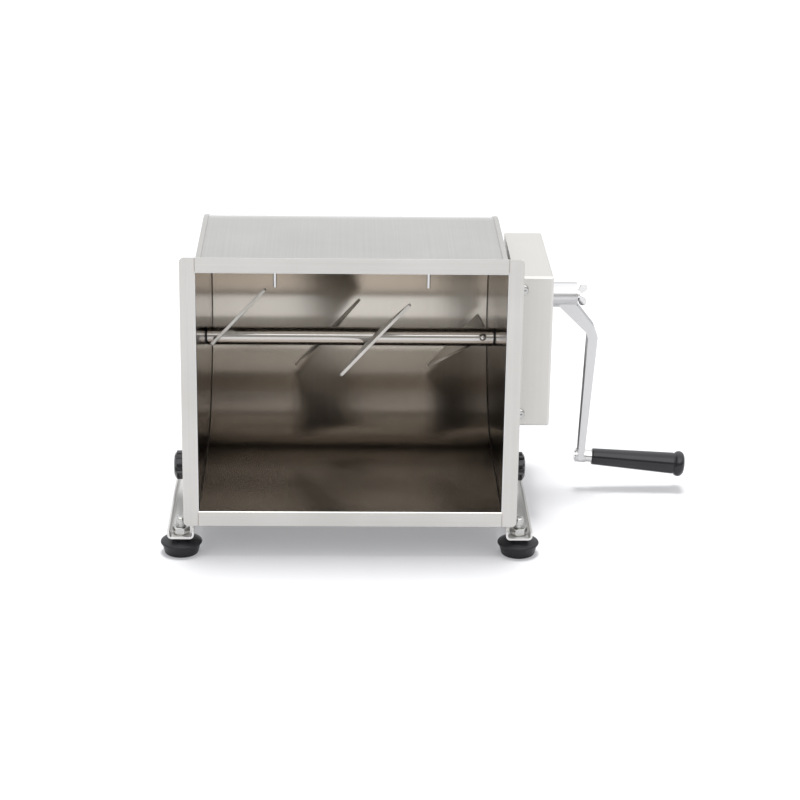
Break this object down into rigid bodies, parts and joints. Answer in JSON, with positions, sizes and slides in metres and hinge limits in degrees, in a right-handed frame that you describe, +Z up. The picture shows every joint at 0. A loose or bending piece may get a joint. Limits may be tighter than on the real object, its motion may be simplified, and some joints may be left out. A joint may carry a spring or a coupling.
{
  "type": "meat mixer",
  "caption": "Hand-cranked meat mixer: a tilting stainless trough on two legs with levelling feet, slanted paddles on a shaft, a geared crank and clamp knobs.",
  "frame": {"origin": "on the floor, under the middle of the mixer's whole width and on the line below the tilt axis", "axes": "+X from the left leg to the crank, +Y back from the mouth of the tipped tank, +Z up"},
  "size_m": [0.561, 0.4004, 0.3167],
  "materials": {
    "tank_steel": "brushed stainless sheet",
    "stand_steel": "brushed stainless sheet",
    "cover_steel": "fine brushed stainless sheet",
    "agitator_steel": "polished stainless",
    "bright_steel": "bright turned or plated steel",
    "crank_metal": "bright plated casting",
    "gear_steel": "machined steel",
    "bronze": "oiled bronze",
    "black_rubber": "matt black rubber",
    "black_plastic": "satin black plastic"
  },
  "bodies": {
    "stand": {"left_leg": "stand_steel", "right_leg": "stand_steel", "foot_nuts": "bright_steel", "left_clamp_bush": "bright_steel", "right_clamp_bush": "bright_steel", "gearbox_plate": "stand_steel", "gearbox_spacers": "bright_steel", "plate_screws": "bright_steel", "gearbox_cover": "cover_steel", "cover_screws": "bright_steel", "output_bush": "bronze", "crank_bush_inner": "bronze", "crank_bush_outer": "bronze"},
    "tank": {"tank_shell": "tank_steel", "left_end_plate": "tank_steel", "right_end_plate": "tank_steel", "left_trunnion": "bright_steel", "right_trunnion": "bright_steel", "left_trunnion_clip": "gear_steel", "right_trunnion_clip": "gear_steel", "left_shaft_seal": "black_rubber", "right_shaft_seal": "black_rubber", "baffle_pins": "bright_steel"},
    "agitator": {"agitator_tube": "agitator_steel", "blade_left_end": "agitator_steel", "blade_left_inner": "agitator_steel", "blade_right_inner": "agitator_steel", "blade_right_end": "agitator_steel", "drive_stub": "bright_steel", "idler_stub": "bright_steel", "drive_screw": "bright_steel", "drive_gear": "gear_steel", "drive_key": "gear_steel", "gear_screw": "bright_steel"},
    "crank": {"crank_shaft": "bright_steel", "crank_pinion": "gear_steel", "pinion_key": "gear_steel", "crank_arm": "crank_metal", "wing_screw": "bright_steel", "grip_spindle": "bright_steel"},
    "grip": {"crank_grip": "black_plastic"},
    "left_clamp": {"left_knob": "black_plastic", "left_knob_stud": "bright_steel"},
    "right_clamp": {"right_knob": "black_plastic", "right_knob_stud": "bright_steel"},
    "foot_front_left": {"foot_pad_front_left": "black_rubber", "foot_stud_front_left": "bright_steel"},
    "foot_front_right": {"foot_pad_front_right": "black_rubber", "foot_stud_front_right": "bright_steel"},
    "foot_rear_left": {"foot_pad_rear_left": "black_rubber", "foot_stud_rear_left": "bright_steel"},
    "foot_rear_right": {"foot_pad_rear_right": "black_rubber", "foot_stud_rear_right": "bright_steel"}
  },
  "joints": [
    {"name": "tank_tilt", "type": "hinge", "parent": "stand", "child": "tank", "pos_m": [-0.08678, 0, 0.1747], "axis": [-1, 0, 0], "range_deg": [0, 90]},
    {"name": "agitator_spin", "type": "hinge", "parent": "stand", "child": "agitator", "pos_m": [-0.08678, 0, 0.1747], "axis": [1, 0, 0], "continuous": true},
    {"name": "crank_turn", "type": "hinge", "parent": "stand", "child": "crank", "pos_m": [0.10322, 0, 0.2227], "axis": [1, 0, 0], "continuous": true},
    {"name": "grip_spin", "type": "hinge", "parent": "crank", "child": "grip", "pos_m": [0.16572, 0, 0.0387], "axis": [0.9963, 0, -0.0854], "continuous": true},
    {"name": "left_clamp_turn", "type": "hinge", "parent": "stand", "child": "left_clamp", "pos_m": [-0.25678, -0.064, 0.0507], "axis": [-1, 0, 0], "range_deg": [0, 720]},
    {"name": "right_clamp_turn", "type": "hinge", "parent": "stand", "child": "right_clamp", "pos_m": [0.08322, -0.064, 0.0507], "axis": [1, 0, 0], "range_deg": [0, 720]},
    {"name": "foot_front_left_turn", "type": "hinge", "parent": "stand", "child": "foot_front_left", "pos_m": [-0.25928, -0.179, 0.012], "axis": [0, 0, 1], "range_deg": [-360, 360]},
    {"name": "foot_front_right_turn", "type": "hinge", "parent": "stand", "child": "foot_front_right", "pos_m": [0.08572, -0.179, 0.012], "axis": [0, 0, 1], "range_deg": [-360, 360]},
    {"name": "foot_rear_left_turn", "type": "hinge", "parent": "stand", "child": "foot_rear_left", "pos_m": [-0.25928, 0.179, 0.012], "axis": [0, 0, 1], "range_deg": [-360, 360]},
    {"name": "foot_rear_right_turn", "type": "hinge", "parent": "stand", "child": "foot_rear_right", "pos_m": [0.08572, 0.179, 0.012], "axis": [0, 0, 1], "range_deg": [-360, 360]}
  ],
  "couplings": [
    {"joint": "crank_turn", "follows": "agitator_spin", "ratio": -2.4286}
  ]
}
